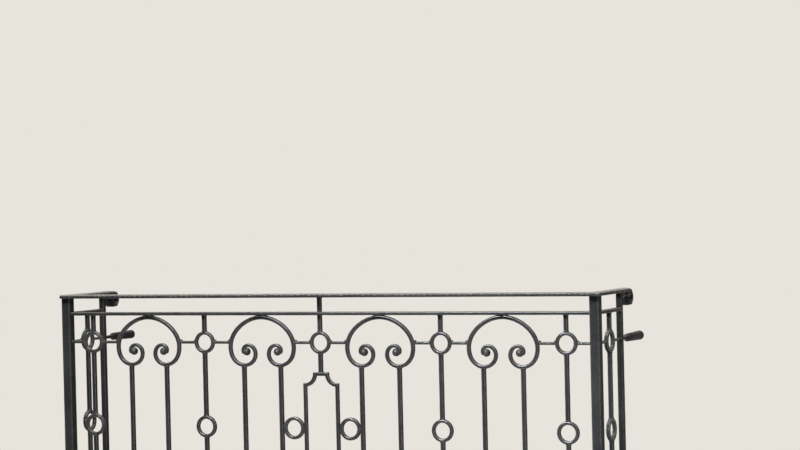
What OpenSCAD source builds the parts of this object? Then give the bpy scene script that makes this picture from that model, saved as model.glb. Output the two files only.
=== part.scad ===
// Narrow wrought iron balcony: a railing of scrolls, rings and square bars on a
// thin moulded floor slab. Millimetres, Z up, the wall is the plane Y = 0 and the
// front of the balcony looks along -Y.

/* [Overall] */
// Distance between the centres of the two corner posts
railing_w = 1600; // [1500:10:2400]
// Height of the handrail's top above the floor
railing_h = 1000; // [820:10:1250]
// Distance from the wall to the centres of the corner posts
projection = 360; // [320:5:520]
// Distance from a corner post's centre to its back post's centre
side_w = 195; // [180:5:300]

/* [Floor slab] */
// Thickness of the slab
slab_t = 90; // [70:5:140]
// Reach of the slab past the centres of the corner posts
slab_lip = 30; // [24:1:80]
// Height of the plain band at the slab's edge
slab_band = 42; // [20:1:60]
// Radius of the hollow moulding under the band
slab_cove_r = 26; // [10:1:36]

/* [Posts] */
// Side of the square corner posts
corner_post_w = 27; // [20:1:40]
// Side of the square back posts
back_post_w = 16; // [12:1:25]
// Worn bevel along the edges of posts and bars
edge_bevel = 1; // [0.5:0.1:2]
// Margin of a post's foot plate on each side of the post
foot_margin = 9; // [5:1:16]
// Thickness of the foot plates
foot_t = 6; // [4:1:12]

/* [Handrail] */
// Width of the handrail
handrail_w = 34; // [26:1:50]
// Thickness of the handrail
handrail_t = 11; // [8:1:16]
// Radius of the handrail's rounded upper edges
handrail_round = 4.5; // [2:0.5:6]
// Outer diameter of the roll at each end of the handrail
roll_d = 54; // [46:1:70]
// Distance from a back post's centre to the centre of its roll
roll_reach = 50; // [36:1:70]
// Thickness of the bar at the inner end of the roll
roll_end_t = 6; // [4:0.5:9]
// Gap between the turns of the roll
roll_gap = 2; // [1:0.5:4]
// Angle that the roll turns through
roll_turn = 380; // [300:5:420]

/* [Rails] */
// Width of the flat bar of the upper and lower rails
rail_w = 20; // [14:1:30]
// Thickness of that bar
rail_t = 10; // [6:1:14]
// Bevel along the upper edges of that bar
rail_bevel = 3; // [1:0.5:4]
// Depth of the upper rail's centre below the handrail's top
upper_rail_drop = 55; // [40:1:80]
// Clear height under the lower rail
lower_rail_gap = 71; // [50:1:120]

/* [Bars and rings] */
// Side of the square balusters and stems
bar_w = 12; // [8:1:14]
// Outer diameter of the rings
ring_d = 62.5; // [50:0.5:76]
// Width of the ring's bar, seen from the front
ring_bar = 10; // [6:1:12]
// Depth of the upper row of rings below the handrail's top
ring_drop = 135.5; // [125:0.5:160]
// Distance from an end ring's centre to its corner post's centre
ring_end_gap = 83; // [60:1:110]
// Side of the short link bars between rings and scrolls
link_w = 8.5; // [6:0.5:10]
// Distance from a corner post's centre to the ring on its side panel
side_ring_reach = 107; // [80:1:125]

/* [Scrolls] */
// Outer width of a scroll, from side to side
scroll_w = 207; // [172:1:250]
// Distance of a volute's eye from the scroll's middle
eye_reach = 47.5; // [42:0.5:50]
// Depth of the eyes below the top of the scroll
eye_drop = 101; // [90:0.5:110]
// Thickness of the scroll's bar at the top of the arch
scroll_t = 11.5; // [7:0.5:14]
// Thickness of the bar where it closes on the eye
scroll_end_t = 9.5; // [4:0.5:11]
// Depth of the scroll's bar from front to back
scroll_depth = 12; // [8:1:16]
// Angle that each volute turns through
volute_turn = 400; // [360:5:440]
// How fast a volute tightens; 1 gives evenly spaced turns
volute_ease = 1.4; // [1:0.05:1.6]
// Diameter of the domed eye of a volute
eye_d = 22; // [16:1:24]
// Depth of the eye from front to back
eye_depth = 17; // [12:1:22]
// Width of the flat weld seat on top of a scroll
seat_w = 44; // [20:1:70]
// Distance of a scroll's balusters from its middle
baluster_reach = 56.5; // [50:0.5:62]

/* [Centre panel] */
// Side of the square bar of the centre frame
frame_bar = 10.5; // [7:0.5:12]
// Outer diameter of the rings on both sides of the centre frame
frame_ring_d = 63; // [50:1:70]
// Depth of the centre frame's top below the upper row of rings
frame_drop = 81; // [70:1:110]
// Radius of the frame's hollow shoulders, at the middle of the bar
shoulder_r = 30; // [16:1:34]

/* [Wall stays] */
// Side of the square stays
stay_w = 10; // [8:1:14]
// Length of the round anchors that hold the stays in the wall
anchor_l = 112; // [60:1:140]
// Diameter of an anchor at the wall
anchor_d = 26; // [24:1:36]
// Diameter of an anchor where the stay enters it
anchor_tip_d = 22; // [20:1:24]
// Rounding of an anchor's edge there
anchor_nose = 3; // [1:0.5:4]

/* [Hidden] */

// Colours of the painted iron and of the slab
IRON = [0.17, 0.17, 0.18];
STONE = [0.80, 0.78, 0.73];
// Smoothness of the round parts
$fn = 64;
// Clearance round a bar that passes through a rail
fit = 0.2;
// Steps along each volute and along each half of an arch
VOLUTE_STEPS = 40;
ARCH_STEPS = 12;
// Steps along each roll and round each upper edge of the handrail
ROLL_STEPS = 36;
EDGE_STEPS = 4;
// Degrees in one radian
RADIAN = 57.2958;

// Levels, measured up from the middle of the slab's wall face
floor_z = slab_t / 2;
top_z = floor_z + railing_h;
handrail_z = top_z - handrail_t;
upper_rail_z = top_z - upper_rail_drop;
lower_rail_z = floor_z + lower_rail_gap + rail_t / 2;
middle_z = (upper_rail_z + lower_rail_z) / 2;
ring_row_z = top_z - ring_drop;
ring_pitch_z = 2 * (ring_row_z - middle_z) / 3;
ring_rows = [for (i = [0:3]) ring_row_z - i * ring_pitch_z];

// Places across the front and back towards the wall
front_y = -projection;
back_post_y = front_y + side_w;
side_x = railing_w / 2;
bay_w = (side_x - ring_end_gap) / 2;
scroll_x = [-1.5 * bay_w, -0.5 * bay_w, 0.5 * bay_w, 1.5 * bay_w];
ring_x = [-2 * bay_w, -bay_w, bay_w, 2 * bay_w];

// The scroll, drawn about its own middle with its top at zero
scroll_top_z = upper_rail_z - rail_t / 2;
arch_top = -scroll_t / 2;
arch_lean = atan(RADIAN * volute_ease / volute_turn);
// How far the arch swells outwards above the volutes
arch_swell = 1;
// The volute's middle line starts at the arch and ends a quarter of its bar inside the eye's rim
volute_start_r = scroll_w / 2 - eye_reach - scroll_t / 2 - arch_swell;
volute_end_r = eye_d / 2 - scroll_end_t / 4;

// Half width of the centre frame, at the middle of its bars
frame_x = bay_w / 2 - baluster_reach - bar_w / 2 - frame_ring_d - frame_bar / 2;
frame_ring_x = frame_x + frame_bar / 2 + frame_ring_d / 2;
frame_top_z = ring_row_z - frame_drop - frame_bar / 2;

// A point on the volute's middle line, a degrees after its start
function volute_r(a) = volute_end_r
    + (volute_start_r - volute_end_r) * pow(1 - a / volute_turn, volute_ease);
function volute_point(a) = [eye_reach + volute_r(a) * cos(a), -eye_drop - volute_r(a) * sin(a)];

// A point on the arch's middle line, from the volute's start at 0 to the top at 1
function mix(a, b, u) = a * (1 - u) + b * u;
function bezier(p, u) = len(p) == 1 ? p[0]
    : bezier([for (i = [0:len(p) - 2]) mix(p[i], p[i + 1], u)], u);
arch_rise = arch_top + eye_drop;
arch_start = volute_point(0);
// Share of the arch's rise and half width that its two middle control points take
arch_pull = 0.54;
arch_line = [
    arch_start,
    arch_start + arch_pull * arch_rise * [sin(arch_lean), cos(arch_lean)],
    [arch_pull * arch_start[0], arch_top],
    [0, arch_top]
];

// One half of the scroll's middle line, from the top of the arch to the eye
half_line = concat(
    [for (i = [0:ARCH_STEPS - 1]) bezier(arch_line, 1 - i / ARCH_STEPS)],
    [for (i = [0:VOLUTE_STEPS]) volute_point(volute_turn * i / VOLUTE_STEPS)]
);
scroll_line = concat(
    [for (i = [len(half_line) - 1:-1:1]) [-half_line[i][0], half_line[i][1]]],
    half_line
);

// Outline of a bar of changing thickness along a middle line
function unit(v) = v / norm(v);
function normal(line, i) = let (
    n = len(line) - 1,
    d = unit(line[min(i + 1, n)] - line[max(i - 1, 0)])
) [-d[1], d[0]];
function bar_outline(line, thick) = concat(
    [for (i = [0:len(line) - 1]) line[i] + normal(line, i) * thick[i] / 2],
    [for (i = [len(line) - 1:-1:0]) line[i] - normal(line, i) * thick[i] / 2]
);

// The scroll's bar is thickest at the top of the arch and thinnest at the eyes
scroll_thick = [for (i = [0:len(scroll_line) - 1])
    let (mid = (len(scroll_line) - 1) / 2, u = abs(i - mid) / mid)
        mix(scroll_t, scroll_end_t, u)
];
scroll_outline = bar_outline(scroll_line, scroll_thick);
scroll_low = min([for (p = scroll_outline) p[1]]);

// Half width of the scroll at the level of the link bars, where they meet its side
link_levels = [for (s = [-1, 1]) ring_row_z - scroll_top_z + s * link_w / 2];
function crossing(a, b, z) = (z - a[1]) / (b[1] - a[1]);
scroll_side = max(concat(
    [for (p = scroll_outline) if (p[1] >= link_levels[0] && p[1] <= link_levels[1]) p[0]],
    [for (i = [1:len(scroll_outline) - 1], z = link_levels)
        let (a = scroll_outline[i - 1], b = scroll_outline[i])
            if ((a[1] - z) * (b[1] - z) < 0) mix(a[0], b[0], crossing(a, b, z))]
));

// Turns a flat shape to stand in the XZ plane, centred on the front of the balcony
module upright(depth, y = front_y) {
    translate([0, y + depth / 2, 0])
        rotate([90, 0, 0])
            linear_extrude(depth)
                children();
}

// Square bar with bevelled edges, standing on z0
module post(x, y, w, z0, z1) {
    b = edge_bevel;
    h = w / 2;
    translate([x, y, z0])
        linear_extrude(z1 - z0)
            polygon([
                [-h + b, -h], [h - b, -h], [h, -h + b], [h, h - b],
                [h - b, h], [-h + b, h], [-h, h - b], [-h, -h + b]
            ]);
}

// Square foot plate under a post
module foot(x, y, post_w) {
    s = post_w + 2 * foot_margin;
    translate([x - s / 2, y - s / 2, floor_z])
        cube([s, s, foot_t]);
}

// Section of the flat bar of the rails, centred
module rail_section() {
    w = rail_w / 2;
    t = rail_t / 2;
    b = rail_bevel;
    polygon([[-w, -t], [w, -t], [w, t - b], [w - b, t], [b - w, t], [-w, t - b]]);
}

// Section of the handrail, with its underside at zero
module handrail_section() {
    w = handrail_w / 2;
    r = handrail_round;
    upper = [for (i = [0:EDGE_STEPS])
        let (a = 90 * i / EDGE_STEPS) [w - r + r * cos(a), handrail_t - r + r * sin(a)]];
    left = [for (i = [EDGE_STEPS:-1:0]) [-upper[i][0], upper[i][1]]];
    polygon(concat([[edge_bevel - w, 0], [w - edge_bevel, 0], [w, edge_bevel]], upper, left,
        [[-w, edge_bevel]]));
}

// Bars that run along X and along Y, with their section's upper side up
module along_x(x0, x1) {
    translate([x0, 0, 0])
        rotate([90, 0, 90])
            linear_extrude(x1 - x0)
                children();
}
module along_y(y0, y1) {
    translate([0, y1, 0])
        rotate([90, 0, 0])
            linear_extrude(y1 - y0)
                children();
}

// Ring that stands in the XZ plane, or in the YZ plane on a side panel
module ring(x, y, z, outer_d, turn = 0) {
    translate([x, y, z])
        rotate([90, 0, turn])
            difference() {
                cylinder(d = outer_d, h = bar_w, center = true);
                cylinder(d = outer_d - 2 * ring_bar, h = bar_w + 2, center = true);
            }
}

// Upright bar with a ring at each row of ring_rows, from the lower rail to the upper rail
module ringed_bar(x, y, turn) {
    seat = ring_d / 2 - ring_bar / 2;
    stops = concat([upper_rail_z - rail_t / 2 + seat], ring_rows, [lower_rail_z + rail_t / 2 - seat]);
    for (i = [0:len(stops) - 2])
        post(x, y, bar_w, stops[i + 1] + seat, stops[i] - seat);
    for (z = ring_rows)
        ring(x, y, z, ring_d, turn);
}

// Short square bar from one face to the next
module link(x0, x1, z) {
    translate([x0, front_y - link_w / 2, z - link_w / 2])
        cube([x1 - x0, link_w, link_w]);
}
module side_link(x, y0, y1, z) {
    translate([x - link_w / 2, y0, z - link_w / 2])
        cube([link_w, y1 - y0, link_w]);
}

// The floor slab: a plain band over a hollow moulding on the front and both sides
module slab_section(reach) {
    difference() {
        translate([0, -slab_t / 2])
            square([reach, slab_t]);
        translate([reach, floor_z - slab_band - slab_cove_r])
            circle(r = slab_cove_r);
        translate([reach - slab_cove_r, -slab_t])
            square([slab_cove_r + 1, floor_z - slab_band - slab_cove_r + slab_t]);
    }
}
module floor_slab() {
    reach_x = side_x + slab_lip;
    reach_y = projection + slab_lip;
    color(STONE)
        intersection() {
            rotate([90, 0, 90])
                translate([0, 0, -reach_x - 1])
                    linear_extrude(2 * reach_x + 2)
                        mirror([1, 0])
                            slab_section(reach_y);
            translate([0, 1, 0])
                rotate([90, 0, 0])
                    linear_extrude(reach_y + 2)
                        union() {
                            slab_section(reach_x);
                            mirror([1, 0])
                                slab_section(reach_x);
                        }
        }
}

// The four posts
module corner_post(side) {
    color(IRON) {
        post(side * side_x, front_y, corner_post_w, floor_z, handrail_z);
        foot(side * side_x, front_y, corner_post_w);
    }
}
module back_post(side) {
    color(IRON) {
        post(side * side_x, back_post_y, back_post_w, floor_z, handrail_z);
        foot(side * side_x, back_post_y, back_post_w);
    }
}

// The handrail, mitred at the corners
module handrail_front() {
    o = handrail_w / 2;
    color(IRON)
        intersection() {
            translate([0, front_y, handrail_z])
                along_x(-side_x - o, side_x + o)
                    handrail_section();
            translate([0, 0, handrail_z - 1])
                linear_extrude(handrail_t + 2)
                    polygon([
                        [-side_x - o, front_y - o], [side_x + o, front_y - o],
                        [side_x - o, front_y + o], [o - side_x, front_y + o]
                    ]);
        }
}

// The roll at a handrail's end, a spiral that turns down and back under the bar
module roll_outline() {
    r0 = roll_d / 2;
    step_in = handrail_t + roll_gap;
    turns = [for (i = [0:ROLL_STEPS]) i / ROLL_STEPS * roll_turn];
    outer = [for (a = turns) (r0 - step_in * a / 360) * [sin(a), cos(a)]];
    inner = [for (a = turns)
        (r0 - step_in * a / 360 - mix(handrail_t, roll_end_t, a / roll_turn)) * [sin(a), cos(a)]];
    polygon(concat(outer, [for (i = [ROLL_STEPS:-1:0]) inner[i]]));
}
module handrail_side(side) {
    o = handrail_w / 2;
    roll_y = back_post_y + roll_reach;
    color(IRON) {
        intersection() {
            translate([side * side_x, 0, handrail_z])
                along_y(front_y - o, roll_y)
                    handrail_section();
            translate([side * side_x, 0, handrail_z - 1])
                linear_extrude(handrail_t + 2)
                    polygon([
                        [side * o, front_y - o], [side * o, roll_y],
                        [-side * o, roll_y], [-side * o, front_y + o]
                    ]);
        }
        translate([side * side_x - o, roll_y, top_z - roll_d / 2])
            rotate([90, 0, 90])
                linear_extrude(handrail_w)
                    roll_outline();
    }
}

// Upper and lower rails; the centre stem passes through both of the front ones
module rail_front(z) {
    inner = side_x - corner_post_w / 2;
    hole = bar_w + 2 * fit;
    color(IRON)
        difference() {
            translate([0, front_y, z])
                along_x(-inner, inner)
                    rail_section();
            translate([-hole / 2, front_y - hole / 2, z - rail_t])
                cube([hole, hole, 2 * rail_t]);
        }
}
module rail_side(side, z) {
    color(IRON)
        translate([side * side_x, 0, z])
            along_y(front_y + corner_post_w / 2, back_post_y - back_post_w / 2)
                rail_section();
}

// A scroll: an arch whose ends turn inwards in two volutes with domed eyes
module eye() {
    bulge = (eye_depth - scroll_depth) / 2;
    dome_r = (pow(eye_d / 2, 2) + pow(bulge, 2)) / (2 * bulge);
    half = scroll_depth / 2;
    intersection() {
        cylinder(d = eye_d, h = 2 * eye_depth, center = true);
        translate([0, 0, half + bulge - dome_r])
            sphere(r = dome_r, $fn = 96);
        translate([0, 0, dome_r - half - bulge])
            sphere(r = dome_r, $fn = 96);
    }
}
module scroll() {
    upright(scroll_depth) {
        polygon(scroll_outline);
        translate([-seat_w / 2, -scroll_t / 2])
            square([seat_w, scroll_t / 2]);
    }
    for (s = [-1, 1])
        translate([s * eye_reach, front_y, -eye_drop])
            rotate([90, 0, 0])
                eye();
}
module upper_scroll(i) {
    color(IRON)
        translate([scroll_x[i], 0, scroll_top_z])
            scroll();
}
module lower_scroll(i) {
    color(IRON)
        translate([scroll_x[i], 0, 2 * middle_z - scroll_top_z])
            mirror([0, 0, 1])
                scroll();
}

// The two bars between an upper and a lower scroll
module baluster_pair(i) {
    reach = scroll_top_z + scroll_low;
    color(IRON)
        for (s = [-1, 1])
            post(scroll_x[i] + s * baluster_reach, front_y, bar_w, 2 * middle_z - reach, reach);
}
module ring_baluster(i) {
    color(IRON)
        ringed_bar(ring_x[i], front_y, 0);
}

// The centre stem: handrail, upper rail, ring, and down to the centre frame
module centre_stem_upper() {
    color(IRON) {
        post(0, front_y, bar_w, ring_row_z + ring_d / 2 - ring_bar / 2, handrail_z);
        post(0, front_y, bar_w, frame_top_z + frame_bar / 2, ring_row_z - ring_d / 2 + ring_bar / 2);
        ring(0, front_y, ring_row_z, ring_d);
    }
}
module centre_stem_lower() {
    color(IRON) {
        post(0, front_y, bar_w, floor_z, ring_rows[3] - ring_d / 2 + ring_bar / 2);
        post(0, front_y, bar_w, ring_rows[3] + ring_d / 2 - ring_bar / 2,
            2 * middle_z - frame_top_z - frame_bar / 2);
        ring(0, front_y, ring_rows[3], ring_d);
    }
}

// The centre frame: two long bars joined at both ends by hollow shoulders
module frame_end() {
    outer_r = shoulder_r + frame_bar / 2;
    inner_r = shoulder_r - frame_bar / 2;
    low = frame_top_z - shoulder_r;
    for (s = [-1, 1])
        translate([s * frame_x, frame_top_z])
            intersection() {
                difference() {
                    circle(r = outer_r);
                    circle(r = inner_r);
                }
                translate([s > 0 ? -outer_r : -frame_bar / 2, -outer_r])
                    square([outer_r + frame_bar / 2, outer_r + frame_bar / 2]);
            }
    translate([shoulder_r - frame_x - frame_bar / 2, frame_top_z - frame_bar / 2])
        square([2 * (frame_x - shoulder_r) + frame_bar, frame_bar]);
    for (s = [-1, 1])
        translate([s * frame_x - frame_bar / 2, middle_z])
            square([frame_bar, low + frame_bar / 2 - middle_z]);
}
module centre_frame() {
    color(IRON)
        upright(frame_bar) {
            frame_end();
            translate([0, 2 * middle_z])
                mirror([0, 1])
                    frame_end();
        }
}
module centre_frame_rings() {
    color(IRON)
        for (s = [-1, 1], row = [1, 2])
            ring(s * frame_ring_x, front_y, ring_rows[row], frame_ring_d);
}

// Link bars of one row: post to ring, and ring to scroll on both sides of each scroll
module link_row(z) {
    ring_r = ring_d / 2;
    post_face = side_x - corner_post_w / 2;
    color(IRON) {
        for (s = [-1, 1])
            link(s > 0 ? ring_x[3] + ring_r : -post_face, s > 0 ? post_face : ring_x[0] - ring_r, z);
        for (x = scroll_x) {
            link(x - bay_w / 2 + ring_r, x - scroll_side, z);
            link(x + scroll_side, x + bay_w / 2 - ring_r, z);
        }
    }
}

// Side panels: a ringed bar with its links, and the stay that runs on to the wall
module side_ring_baluster(side) {
    color(IRON)
        ringed_bar(side * side_x, front_y + side_ring_reach, 90);
}
module side_links(side) {
    y = front_y + side_ring_reach;
    color(IRON)
        for (z = [ring_rows[0], ring_rows[3]]) {
            side_link(side * side_x, front_y + corner_post_w / 2, y - ring_d / 2, z);
            side_link(side * side_x, y + ring_d / 2, back_post_y - back_post_w / 2, z);
        }
}
module wall_stay(side) {
    y0 = back_post_y + back_post_w / 2;
    color(IRON)
        translate([side * side_x - stay_w / 2, y0, ring_row_z - stay_w / 2])
            cube([stay_w, -anchor_l - y0, stay_w]);
}
module wall_anchor(side) {
    tip = anchor_tip_d / 2;
    color(IRON)
        translate([side * side_x, -anchor_l, ring_row_z])
            rotate([-90, 0, 0])
                rotate_extrude()
                    polygon([
                        [0, 0], [tip - anchor_nose, 0], [tip, anchor_nose],
                        [anchor_d / 2, anchor_l], [0, anchor_l]
                    ]);
}

floor_slab();
corner_post(-1);  // corner_post_left
corner_post(1);  // corner_post_right
back_post(-1);  // back_post_left
back_post(1);  // back_post_right
handrail_front();
handrail_side(-1);  // handrail_left
handrail_side(1);  // handrail_right
rail_front(upper_rail_z);  // upper_rail_front
rail_side(-1, upper_rail_z);  // upper_rail_left
rail_side(1, upper_rail_z);  // upper_rail_right
rail_front(lower_rail_z);  // lower_rail_front
rail_side(-1, lower_rail_z);  // lower_rail_left
rail_side(1, lower_rail_z);  // lower_rail_right
upper_scroll(0);  // upper_scroll_1
upper_scroll(1);  // upper_scroll_2
upper_scroll(2);  // upper_scroll_3
upper_scroll(3);  // upper_scroll_4
lower_scroll(0);  // lower_scroll_1
lower_scroll(1);  // lower_scroll_2
lower_scroll(2);  // lower_scroll_3
lower_scroll(3);  // lower_scroll_4
baluster_pair(0);  // baluster_pair_1
baluster_pair(1);  // baluster_pair_2
baluster_pair(2);  // baluster_pair_3
baluster_pair(3);  // baluster_pair_4
ring_baluster(0);  // ring_baluster_1
ring_baluster(1);  // ring_baluster_2
ring_baluster(2);  // ring_baluster_3
ring_baluster(3);  // ring_baluster_4
centre_stem_upper();
centre_stem_lower();
centre_frame();
centre_frame_rings();
link_row(ring_rows[0]);  // link_bars_upper
link_row(ring_rows[3]);  // link_bars_lower
side_ring_baluster(-1);  // side_ring_baluster_left
side_ring_baluster(1);  // side_ring_baluster_right
side_links(-1);  // side_links_left
side_links(1);  // side_links_right
wall_stay(-1);  // wall_stay_left
wall_stay(1);  // wall_stay_right
wall_anchor(-1);  // wall_anchor_left
wall_anchor(1);  // wall_anchor_right
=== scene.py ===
import math

import bmesh
import bpy
from bpy.props import FloatProperty, FloatVectorProperty, PointerProperty
from mathutils import Matrix, Vector, noise


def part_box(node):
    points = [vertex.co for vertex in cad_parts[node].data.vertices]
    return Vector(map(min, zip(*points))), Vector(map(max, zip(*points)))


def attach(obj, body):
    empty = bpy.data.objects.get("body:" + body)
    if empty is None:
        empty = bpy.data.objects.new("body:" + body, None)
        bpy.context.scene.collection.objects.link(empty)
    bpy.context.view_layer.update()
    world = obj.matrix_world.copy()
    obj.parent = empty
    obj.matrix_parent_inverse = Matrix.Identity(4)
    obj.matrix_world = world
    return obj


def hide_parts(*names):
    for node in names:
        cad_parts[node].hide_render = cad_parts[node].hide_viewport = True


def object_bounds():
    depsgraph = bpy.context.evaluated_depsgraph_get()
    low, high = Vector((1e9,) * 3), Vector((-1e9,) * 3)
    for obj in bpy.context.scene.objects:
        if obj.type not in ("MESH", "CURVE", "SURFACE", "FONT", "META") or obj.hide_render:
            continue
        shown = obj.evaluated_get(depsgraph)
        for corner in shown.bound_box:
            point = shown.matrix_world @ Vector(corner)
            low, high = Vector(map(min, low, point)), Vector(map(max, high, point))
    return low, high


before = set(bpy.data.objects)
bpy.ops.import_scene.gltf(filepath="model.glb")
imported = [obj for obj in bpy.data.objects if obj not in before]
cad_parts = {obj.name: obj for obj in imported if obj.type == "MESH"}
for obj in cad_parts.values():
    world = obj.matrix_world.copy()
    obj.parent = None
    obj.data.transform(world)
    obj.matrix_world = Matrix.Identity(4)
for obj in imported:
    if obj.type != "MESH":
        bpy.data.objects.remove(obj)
CAD_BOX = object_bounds()

bl_info = {
    "name": "Wrought Iron Balcony",
    "version": (1, 0, 0),
    "blender": (4, 5, 0),
    "location": "View3D > Sidebar > Balcony",
    "description": "Forged railing, floor slab and fixings of a narrow wrought iron balcony",
    "category": "Add Mesh",
}

SIDES = {"left": -1, "right": 1}
BAYS = range(1, 5)
# Steps of a full turn, for rings and for round ends
RING_STEPS = 72
DOME_STEPS = 40


# Sizes and colours


def length(name, description, default):
    """A size in metres that a user can change in the sidebar."""
    return FloatProperty(
        name=name, description=description, default=default,
        unit="LENGTH", subtype="DISTANCE", precision=4,
    )


def turning(name, description, degrees):
    """An angle that a user can change in the sidebar."""
    return FloatProperty(
        name=name, description=description, default=math.radians(degrees),
        unit="ROTATION", subtype="ANGLE",
    )


def colour(name, description, default):
    """A colour that a user can change in the sidebar."""
    return FloatVectorProperty(
        name=name, description=description, default=default, subtype="COLOR", size=3, min=0, max=1
    )


class BalconyBars(bpy.types.PropertyGroup):
    """Square and flat bars of the railing"""

    corner_post: length("Corner post", "Side of the square corner posts", 0.027)
    back_post: length("Back post", "Side of the square back posts", 0.016)
    bar: length("Baluster", "Side of the square balusters and stems", 0.012)
    link: length("Link", "Side of the short link bars", 0.0085)
    ring_bar: length("Ring bar", "Width of the rings' bar, seen from the front", 0.010)
    ring: length("Ring", "Outer diameter of the rings on the balusters", 0.0625)
    frame_bar: length("Frame bar", "Side of the centre frame's square bar", 0.0105)
    frame_ring: length("Frame ring", "Outer diameter of the rings beside the centre frame", 0.063)
    shoulder: length("Shoulder", "Radius of the centre frame's hollow shoulders", 0.030)
    foot: length("Foot plate", "Thickness of the foot plates", 0.006)
    screw: length("Screw", "Radius of the screw heads on the foot plates", 0.0035)
    rail_bevel: length("Rail bevel", "Bevel along the upper edges of the flat rails", 0.003)


class BalconyHandrail(bpy.types.PropertyGroup):
    """The hammered handrail and its rolls"""

    thickness: length("Thickness", "Thickness of the handrail", 0.011)
    crown: length("Crown", "Radius of the rounded upper edges", 0.0045)
    roll: length("Roll", "Outer diameter of the roll at each end", 0.054)
    roll_reach: length("Roll reach", "From a back post's centre to its roll's centre", 0.050)
    roll_end: length("Roll end", "Thickness of the bar at the inner end of the roll", 0.006)
    roll_gap: length("Roll gap", "Gap between the turns of the roll", 0.002)
    roll_turn: turning("Roll turn", "Angle that the roll turns through", 380)
    notch_pitch: length("Notch pitch", "Distance between hammer notches on the edges", 0.0165)
    notch_depth: length("Notch depth", "Depth of the hammer notches", 0.0016)


class BalconyScroll(bpy.types.PropertyGroup):
    """The arch with two volutes"""

    eye_reach: length("Eye reach", "Distance of an eye from the scroll's middle", 0.0475)
    eye_drop: length("Eye drop", "Depth of the eyes below the top of the arch", 0.101)
    thickness: length("Thickness", "Thickness of the bar at the top of the arch", 0.0115)
    end_thickness: length("End thickness", "Thickness of the bar at the eyes", 0.0095)
    depth: length("Depth", "Depth of the bar from front to back", 0.012)
    eye: length("Eye", "Diameter of the domed eyes", 0.022)
    eye_depth: length("Eye depth", "Depth of the eyes from front to back", 0.017)
    swell: length("Swell", "How far the arch swells past the volutes", 0.001)
    turn: turning("Volute turn", "Angle that each volute turns through", 400)
    ease: FloatProperty(
        name="Volute ease", description="How fast a volute tightens; 1 spaces its turns evenly",
        default=1.4, min=1, max=1.6,
    )
    pull: FloatProperty(
        name="Arch pull", description="Roundness of the arch between its sides and its top",
        default=0.54, min=0.3, max=0.8,
    )


class BalconyForging(bpy.types.PropertyGroup):
    """Traces of the hammer and of the welds"""

    edge: length("Edge radius", "Radius of the worn edges of the square bars", 0.0019)
    soft_edge: length("Soft edge", "Radius of the hammered edges of scrolls and rings", 0.0031)
    step: length("Step", "Longest distance between two sections of a bar", 0.005)
    dent: length("Dent", "Depth of the shallow hammer marks", 0.0004)
    dent_spacing: length("Dent spacing", "Size of the shallow hammer marks", 0.019)
    fillet: length("Fillet", "How far a welded end spreads on its seat", 0.0010)
    fillet_reach: length("Fillet reach", "How far up the bar the spread goes", 0.0030)
    sink: length("Sink", "How deep a bar's end lies inside the ring or scroll it meets", 0.0034)
    bead: length("Bead", "Radius of the weld beads at rings and scrolls", 0.0062)


class BalconySlab(bpy.types.PropertyGroup):
    """The floor slab"""

    band: length("Band", "Height of the plain band at the slab's edge", 0.042)
    cove: length("Cove", "Radius of the hollow moulding under the band", 0.026)
    grain: length("Grain", "Distance between the points of the slab's surface", 0.008)
    edge: length("Edge", "Radius of the worn edges", 0.004)
    chip: length("Chip", "Depth of the chips along the edges", 0.0035)


class BalconyFinish(bpy.types.PropertyGroup):
    """Paint of the iron and face of the slab"""

    paint: colour("Paint", "Satin paint of the iron", (0.031, 0.031, 0.033))
    paint_thin: colour("Thin paint", "Paint where it has weathered", (0.050, 0.050, 0.052))
    # Near-black painted shade under the rails, standing for the shadow that they cast
    grime: colour("Grime", "Shadow under the rails, painted as a dark colour", (0.005, 0.005, 0.005))
    # Lighter colour on the edges: rubbed paint, and also a painted highlight along them
    worn: colour("Worn edge and highlight", "Edges rubbed through the paint, also painted as edge highlights", (0.14, 0.137, 0.134))
    # Pale colour on upward faces: real dust, made paler so that it also paints the light falling on
    # the tops
    dust: colour("Dust", "Dusty pale colour on upward faces, also painting the light on the tops", (0.30, 0.29, 0.265))
    rust: colour("Rust", "Rust in the corners and at the feet", (0.085, 0.036, 0.018))
    stone: colour("Stone", "Rendered face of the slab", (0.60, 0.57, 0.49))
    stone_dark: colour("Stain", "Weather stains on the slab", (0.33, 0.30, 0.25))
    roughness: FloatProperty(
        name="Roughness", description="Roughness of the paint", default=0.34, min=0, max=1
    )
    sheen: FloatProperty(
        name="Sheen", description="Gloss of the paint on the flat faces", default=0.02, min=0, max=1
    )


class BalconyStudio(bpy.types.PropertyGroup):
    """Camera, floor and lamps"""

    camera: FloatVectorProperty(
        name="Camera", description="Place of the camera", size=3,
        default=(2.98578, -6.61276, 1.32643), unit="LENGTH", subtype="TRANSLATION",
    )
    yaw: turning("Yaw", "Camera's turn to the left of straight on", 23.6535)
    pitch: turning("Pitch", "Camera's tilt below the horizon", 0.8190)
    roll: turning("Roll", "Camera's roll", -1.3425)
    lens: FloatProperty(
        name="Lens", description="Focal length on a 36 mm sensor", default=113.6,
        unit="CAMERA", subtype="DISTANCE_CAMERA",
    )
    background: colour("Background", "Colour of the studio behind the object", (0.80, 0.775, 0.72))
    floor: colour("Floor", "Colour of the floor", (0.80, 0.78, 0.74))
    fade_start: length("Fade start", "Where the floor starts to fade into the background", 1.3)
    fade_end: length("Fade end", "Where the floor has faded into the background", 4.2)
    key_power: FloatProperty(
        name="Key lamp", description="Power of the large lamp overhead", default=150, unit="POWER"
    )
    fill_power: FloatProperty(
        name="Fill lamp", description="Power of the soft lamp in front", default=60, unit="POWER"
    )
    sky: FloatProperty(
        name="Sky", description="Brightness of the even light from all around", default=0.24, min=0
    )


# Places


def middle(node):
    """Centre of a CAD node's box."""
    low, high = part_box(node)
    return (low + high) / 2


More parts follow.
